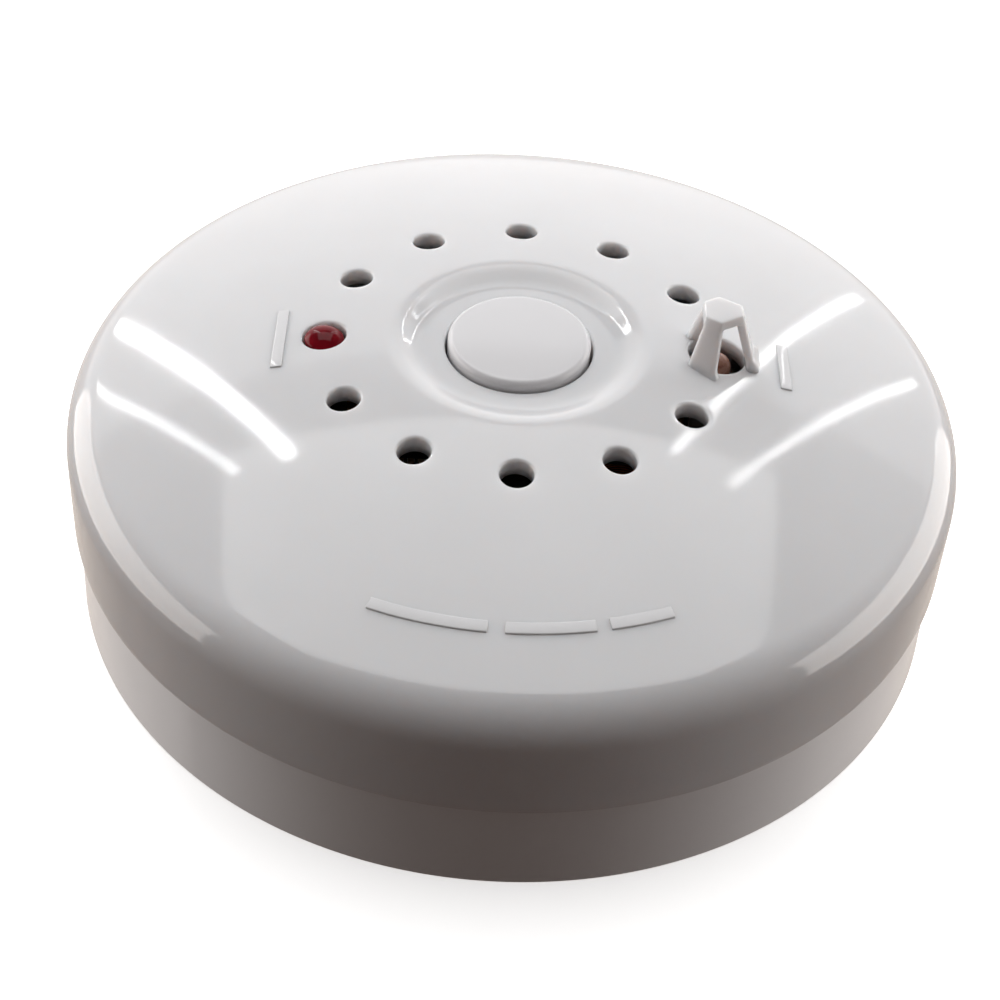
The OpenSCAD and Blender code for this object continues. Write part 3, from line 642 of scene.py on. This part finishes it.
def raised_marks():
    """Plain raised bars: one beside the lamp, one beside the guard and three in front."""
    skin = Skin()
    width, height, sink, edge = 1.4, 0.2, 0.4, 0.12
    lamp_bar_x, guard_bar_x, rim_to_bars = -RING_R - 5.4, SENSOR_X + 8.4, 11
    for x, length in ((lamp_bar_x, 11.0), (guard_bar_x, 8.6)):
        loft_bar(skin, lambda along, across, x=x: (x + across, along), length, width,
                 height, sink, edge, dome)
    ring = COVER_R - rim_to_bars
    for first, span in ((-111, 17.5), (-91, 13), (-76, 9.5)):
        middle = math.radians(first + span / 2)

        def on_arc(along, across, middle=middle):
            angle = middle + along / ring
            return ((ring + across) * math.cos(angle), (ring + across) * math.sin(angle))

        loft_bar(skin, on_arc, ring * math.radians(span), width, height, sink, edge, dome)
    marks = skin.piece("raised_marks", "head", "white_case", "top_cover")
    marks.data.materials[0] = moulded("white_marks", WHITE, 0.07, vary=0.02)
    return marks


# ---------- Button, lamp and sensor ----------

def test_button():
    """Domed button with a round edge, a skirt, a catch ring and a stem."""
    skin = Skin()
    button_r, crown, edge, wall = 8.7, 130.0, 0.8, 1.5
    catch_r, catch_t, catch_gap = 9.9, 1.2, 0.25
    top, low = BUTTON_HIGH.z, COLLAR_LOW_Z - catch_gap - catch_t
    crown_z = top - crown
    edge_x = button_r - edge
    edge_z = crown_z + math.sqrt((crown - edge) ** 2 - edge_x ** 2)
    lean = math.atan2(edge_z - crown_z, edge_x)
    steps = 14
    face = [Vector((r, crown_z + math.sqrt(crown ** 2 - r ** 2)))
            for r in [edge_x * k / steps for k in range(steps)]]
    face += arc((edge_x, edge_z), edge, lean, 0, 10)
    skirt_r, stem_r = button_r - 1.3, 1.9
    roof = top - wall
    stem_low = BUTTON_LOW.z
    catch_top = low + catch_t
    rest = rounded([
        (button_r, edge_z - 1, 0), (button_r, catch_top, 0.15), (catch_r, catch_top, 0.2),
        (catch_r, low, 0.2), (skirt_r, low, 0.2), (skirt_r, roof, 0.5), (stem_r, roof, 0.4),
        (stem_r, stem_low, 0.25), (0, stem_low, 0)], 5)
    lathe(skin, face + rest, segments=144)
    return weighted(skin.piece("button_cap", "button", "white_button", "test_button"))


def lamp_lens():
    """Five-millimetre lamp: flange, body and a low round top."""
    skin = Skin()
    middle = ((LENS_LOW.x + LENS_HIGH.x) / 2, 0)
    body_r, flange_r, flange_t, lift = 2.45, 2.85, 1.0, 0.65
    top, low = LENS_HIGH.z + lift, LENS_LOW.z
    round_r, edge = 3.0, 0.7
    round_z = top - round_r
    edge_x = body_r - edge
    edge_z = round_z + math.sqrt((round_r - edge) ** 2 - edge_x ** 2)
    lean = math.atan2(edge_z - round_z, edge_x)
    face = arc((0, round_z), round_r, math.pi / 2, lean, 14)[:-1]
    face += arc((edge_x, edge_z), edge, lean, 0, 8)
    rest = rounded([(body_r, edge_z - 1, 0), (body_r, low + flange_t, 0.1),
                    (flange_r, low + flange_t, 0.12), (flange_r, low, 0.12), (0, low, 0)], 4)
    lathe(skin, face + rest, middle=middle, segments=72)
    return weighted(skin.piece("lamp_lens_dome", "head", "lamp_red", "lamp_lens"))


def sensor_bead():
    """Dipped bead over the heat sensor."""
    skin = Skin()
    middle = ((BEAD_LOW.x + BEAD_HIGH.x) / 2, 0)
    radius = BEAD_HIGH.x - middle[0]
    top, low = BEAD_HIGH.z, BEAD_LOW.z
    face = arc((0, top - radius), radius, math.pi / 2, 0, 14)
    rest = rounded([(radius, top - radius - 0.3, 0), (radius, low + 1.2, 0.8),
                    (radius * 0.8, low, 0.5), (0, low, 0)], 6)
    lathe(skin, face + rest, middle=middle, segments=60)
    return skin.piece("sensor_bead", "head", "sensor_brown", "thermistor_bead")


# ---------- Base ----------

def arc_block(skin, r0, r1, z0, z1, first, span, edge=0.25):
    """Block with round edges on an arc about the axis, angles in degrees."""
    section = rounded([(r0, z0, edge), (r1, z0, edge), (r1, z1, edge), (r0, z1, edge)], 3)
    count = max(2, int(span * 1.5))
    rings = []
    for k in range(count + 1):
        angle = math.radians(first + span * k / count)
        rings.append([(p[0] * math.cos(angle), p[0] * math.sin(angle), p[1]) for p in section])
    skin.tube(rings)


def slot_cutter(x):
    """Solid in the shape of one ceiling screw slot, longer than the floor is thick."""
    width, length, low, high = 4.4, 8.0, -3.0, 5.0
    straight = (length - width) / 2
    steps = 24
    skin = Skin()
    rings = []
    for z in (low, high):
        ring = []
        for side in (1, -1):
            for k in range(steps + 1):
                angle = math.pi * (k / steps - 0.5)
                ring.append((x + side * (straight + width / 2 * math.cos(angle)),
                             side * width / 2 * math.sin(angle), z))
        rings.append(ring)
    skin.tube(rings)
    return skin.piece("slot_cutter", "base", "white_base")


def base_shell():
    """Round base with its floor, an inner rib and screw slots; the twist-lock tabs come from
    base_locks.
    """
    skin = Skin()
    top, radius = BASE_HIGH.z, BASE_HIGH.x
    taper, floor = 0.3, 2.0
    rib_out, rib_in, rib_top = 42.2, 40.6, 3.2
    outline = rounded([
        (0, 0, 0), (radius, 0, 0.35), (radius - taper, top, 0.4), (BASE_INSIDE_R, top, 0.3),
        (BASE_INSIDE_R, floor, 0.5), (rib_out, floor, 0.15), (rib_out, rib_top, 0.25),
        (rib_in, rib_top, 0.25), (rib_in, floor, 0.15), (0, floor, 0)], 5)
    lathe(skin, outline)
    obj = skin.piece("base_shell", "base", "white_base", "mounting_base")
    for x in (-SCREW_SLOT_X, SCREW_SLOT_X):
        cutter = slot_cutter(x)
        cut = obj.modifiers.new("slot", "BOOLEAN")
        cut.operation = "DIFFERENCE"
        cut.solver = "EXACT"
        cut.object = cutter
        applied(obj)
        bpy.data.objects.remove(cutter)
    return weighted(obj)


def base_locks():
    """Tabs that hold the head's lugs, and the stops at each end of its turn."""
    skin = Skin()
    outside, low, high = BASE_INSIDE_R + 0.6, 8.3, 10.3
    tab_in, tab_span = BASE_INSIDE_R - 1.7, 22
    stop_in, stop_low, stop_high, stop_span = BASE_INSIDE_R - 1.4, 1.4, high - 0.5, 2
    for middle in (90, 210, 330):
        arc_block(skin, tab_in, outside, low, high, middle - tab_span / 2, tab_span)
        for first in (middle - 11.6, middle + 31.6):
            arc_block(skin, stop_in, outside, stop_low, stop_high, first, stop_span, 0.12)
    return weighted(skin.piece("base_locks", "base", "white_base", "mounting_base"))


# ---------- Stage, lights and camera ----------

def stage_piece(name, points, faces, colour, specular, glow):
    """A pale glowing surface of the stage, not seen in bounced light or in the gloss."""
    mesh = bpy.data.meshes.new(name)
    mesh.from_pydata(points, [], faces)
    obj = bpy.data.objects.new(name, mesh)
    bpy.context.scene.collection.objects.link(obj)
    material, nodes, links, shader = new_material(name + "_pale")
    shader.inputs["Base Color"].default_value = (*colour, 1)
    shader.inputs["Roughness"].default_value = 0.9
    shader.inputs["Specular IOR Level"].default_value = specular
    shader.inputs["Emission Color"].default_value = (1, 1, 1, 1)
    shader.inputs["Emission Strength"].default_value = glow
    mesh.materials.append(material)
    obj.visible_diffuse = False
    obj.visible_glossy = False
    return obj


def stage_floor():
    """Pale floor just under the ceiling face."""
    half, drop = 3.0, 0.02
    corners = [(-half, -half, 0), (half, -half, 0), (half, half, 0), (-half, half, 0)]
    floor = stage_piece("stage_floor", corners, [(0, 1, 2, 3)], (0.9, 0.9, 0.9), 0.1, 0.62)
    floor.location.z = -drop * MM


def stage_wall():
    """Pale wall round the floor's far edge, which gives no light and no shadow."""
    radius, low, high, sides = 2.9, -0.001, 3.0, 64
    angles = [math.tau * k / sides for k in range(sides)]
    points = [(radius * math.cos(a), radius * math.sin(a), z) for z in (low, high) for a in angles]
    faces = [(k, (k + 1) % sides, sides + (k + 1) % sides, sides + k) for k in range(sides)]
    wall = stage_piece("stage_wall", points, faces, (0, 0, 0), 0.0, 0.84)
    wall.visible_transmission = False
    wall.visible_shadow = False


def area_light(name, direction, distance, size, power, colour=(1, 1, 1)):
    """A rectangular soft light that faces the object."""
    data = bpy.data.lights.new(name, "AREA")
    data.shape = "RECTANGLE"
    data.size, data.size_y = size
    data.energy = power
    data.color = colour
    obj = bpy.data.objects.new(name, data)
    bpy.context.scene.collection.objects.link(obj)
    away = Vector(direction).normalized()
    turn = away.to_track_quat("Z", "Y").to_matrix().to_4x4()
    obj.matrix_world = Matrix.Translation(away * distance) @ turn
    return obj


# Name, bearing from +Y towards +X, lowest angle, highest angle and width in degrees, power in watts
STRIPS = [
    ("left_strip", -31.3, 18, 51, 1.4, 1.6),
    ("right_strip", 25.3, 12, 51, 0.7, 0.6),
    ("far_left_strip", -38.5, 24, 49, 0.8, 0.35),
    ("far_right_strip", 34.7, 20, 51, 0.8, 0.34),
]
# Name, direction, distance and size in metres, power in watts, colour
SOFT_LIGHTS = [
    ("top_soft", (0, 0.28, 1), 1.0, (1.0, 0.8), 5.3, (1.0, 1.0, 1.0)),
    ("back_soft", (0, 1, 0.36), 1.4, (2.8, 1.1), 8.8, (0.98, 0.99, 1.0)),
    ("left_soft", (-1.0, 0.2, 0.1), 1.0, (1.3, 0.7), 8.8, (1.0, 0.95, 0.91)),
    ("right_soft", (1.0, 0.2, 0.1), 1.0, (1.3, 0.7), 8.8, (1.0, 0.95, 0.91)),
]
# The same for the lights that fall on the base alone
BASE_LIGHTS = [
    ("left_base_soft", (-1.0, 0.45, 0.1), 1.0, (0.4, 0.3), 4.4, (0.98, 0.99, 1.0)),
    ("right_base_soft", (1.0, 0.45, 0.1), 1.0, (0.4, 0.3), 4.4, (0.98, 0.99, 1.0)),
]
# Directions that the room's tones run along, and each tone's place and colour
ROOM_TILT = (0.0, 0.86, 0.5)
ROOM_TONES = [(0.0, (0.052, 0.033, 0.028)), (0.4, (0.050, 0.036, 0.032)),
              (0.65, (0.10, 0.10, 0.10)), (1.0, (0.35, 0.35, 0.355))]
GROUND_TILT = (0.0, 0.73, -0.68)
GROUND_TONES = [(0.0, (0.0, 0.0, 0.0)), (0.35, (0.03, 0.022, 0.018)),
                (0.7, (0.22, 0.17, 0.14)), (1.0, (0.72, 0.62, 0.54))]


def window_strip(name, bearing, low, high, width, power):
    """A tall narrow light at a bearing, between two angles above the floor."""
    away = 1.2
    side, middle = math.radians(bearing), math.radians((low + high) / 2)
    direction = (math.sin(side) * math.cos(middle), math.cos(side) * math.cos(middle),
                 math.sin(middle))
    tall = 2 * away * math.tan(math.radians(high - low) / 2)
    wide = 2 * away * math.tan(math.radians(width) / 2)
    return area_light(name, direction, away, (wide, tall), power)


def graded(nodes, links, source, low, high, stops):
    """A colour from a value's place between low and high, through the stops given."""
    span = nodes.new("ShaderNodeMapRange")
    span.inputs["From Min"].default_value = low
    span.inputs["From Max"].default_value = high
    links.new(source, span.inputs["Value"])
    ramp = nodes.new("ShaderNodeValToRGB")
    elements = ramp.color_ramp.elements
    while len(elements) < len(stops):
        elements.new(0.5)
    for element, (position, colour) in zip(elements, stops):
        element.position = position
        element.color = (*colour, 1)
    links.new(span.outputs["Result"], ramp.inputs["Fac"])
    return ramp.outputs["Color"]


def room_light():
    """Room light: bright above and behind, with light off the ground behind, and dim in front."""
    world = bpy.data.worlds.new("studio")
    bpy.context.scene.world = world
    world.use_nodes = True
    nodes, links = world.node_tree.nodes, world.node_tree.links
    back = nodes["Background"]
    place = nodes.new("ShaderNodeTexCoord")
    both = nodes.new("ShaderNodeMix")
    both.data_type = "RGBA"
    both.blend_type = "ADD"
    both.inputs["Factor"].default_value = 1.0
    for side, tilt, low, tones in (("A", ROOM_TILT, -1, ROOM_TONES),
                                   ("B", GROUND_TILT, 0, GROUND_TONES)):
        along = nodes.new("ShaderNodeVectorMath")
        along.operation = "DOT_PRODUCT"
        along.inputs[1].default_value = tilt
        links.new(place.outputs["Generated"], along.inputs[0])
        tone = graded(nodes, links, along.outputs["Value"], low, 1, tones)
        links.new(tone, both.inputs[side])
    links.new(both.outputs["Result"], back.inputs["Color"])
    back.inputs["Strength"].default_value = 1.0


def studio():
    """Soft room light, two window strips a side and large soft lights."""
    room_light()
    for name, bearing, low, high, width, power in STRIPS:
        window_strip(name, bearing, low, high, width, power)
    for name, direction, distance, size, power, colour in SOFT_LIGHTS:
        area_light(name, direction, distance, size, power, colour)
    bpy.context.scene.view_settings.view_transform = "Standard"


def light_base(base):
    """Soft side lights for the base, kept off the cover above it."""
    falls_on = bpy.data.collections.new("base_lit")
    falls_on.objects.link(base)
    for name, direction, distance, size, power, colour in BASE_LIGHTS:
        light = area_light(name, direction, distance, size, power, colour)
        light.light_linking.receiver_collection = falls_on


def camera():
    """Looks down at the middle of the ceiling face from in front."""
    rise, swing, roll = math.radians(43.43), math.radians(-1.708), math.radians(3.84)
    distance, lens, shift_x, shift_y = 290.56 * MM, 79.24, -0.0052, 0.0537
    back = Vector((math.sin(swing) * math.cos(rise), -math.cos(swing) * math.cos(rise),
                   math.sin(rise)))
    right = Vector((math.cos(swing), math.sin(swing), 0))
    up = back.cross(right)
    x_axis = right * math.cos(roll) + up * math.sin(roll)
    y_axis = up * math.cos(roll) - right * math.sin(roll)
    data = bpy.data.cameras.new("camera")
    data.sensor_width = 36
    data.lens = lens
    data.shift_x = shift_x
    data.shift_y = shift_y
    data.clip_start = 0.01
    obj = bpy.data.objects.new("camera", data)
    bpy.context.scene.collection.objects.link(obj)
    turn = Matrix((x_axis, y_axis, back)).transposed().to_4x4()
    obj.matrix_world = Matrix.Translation(back * distance) @ turn
    bpy.context.scene.camera = obj


# ---------- Everything together ----------

def dress_cad_nodes():
    """Every CAD node that stays takes the look of its slot."""
    slots = {part["node"]: part["material_slot"] for part in frame["record"]["subparts"]}
    for name, obj in frame["nodes"].items():
        obj.data.materials.clear()
        obj.data.materials.append(LOOKS[slots[name]])


camera()
studio()
stage_floor()
stage_wall()
dress_cad_nodes()
cover_shell()
sensor_guard()
raised_marks()
test_button()
lamp_lens()
sensor_bead()
light_base(base_shell())
base_locks()
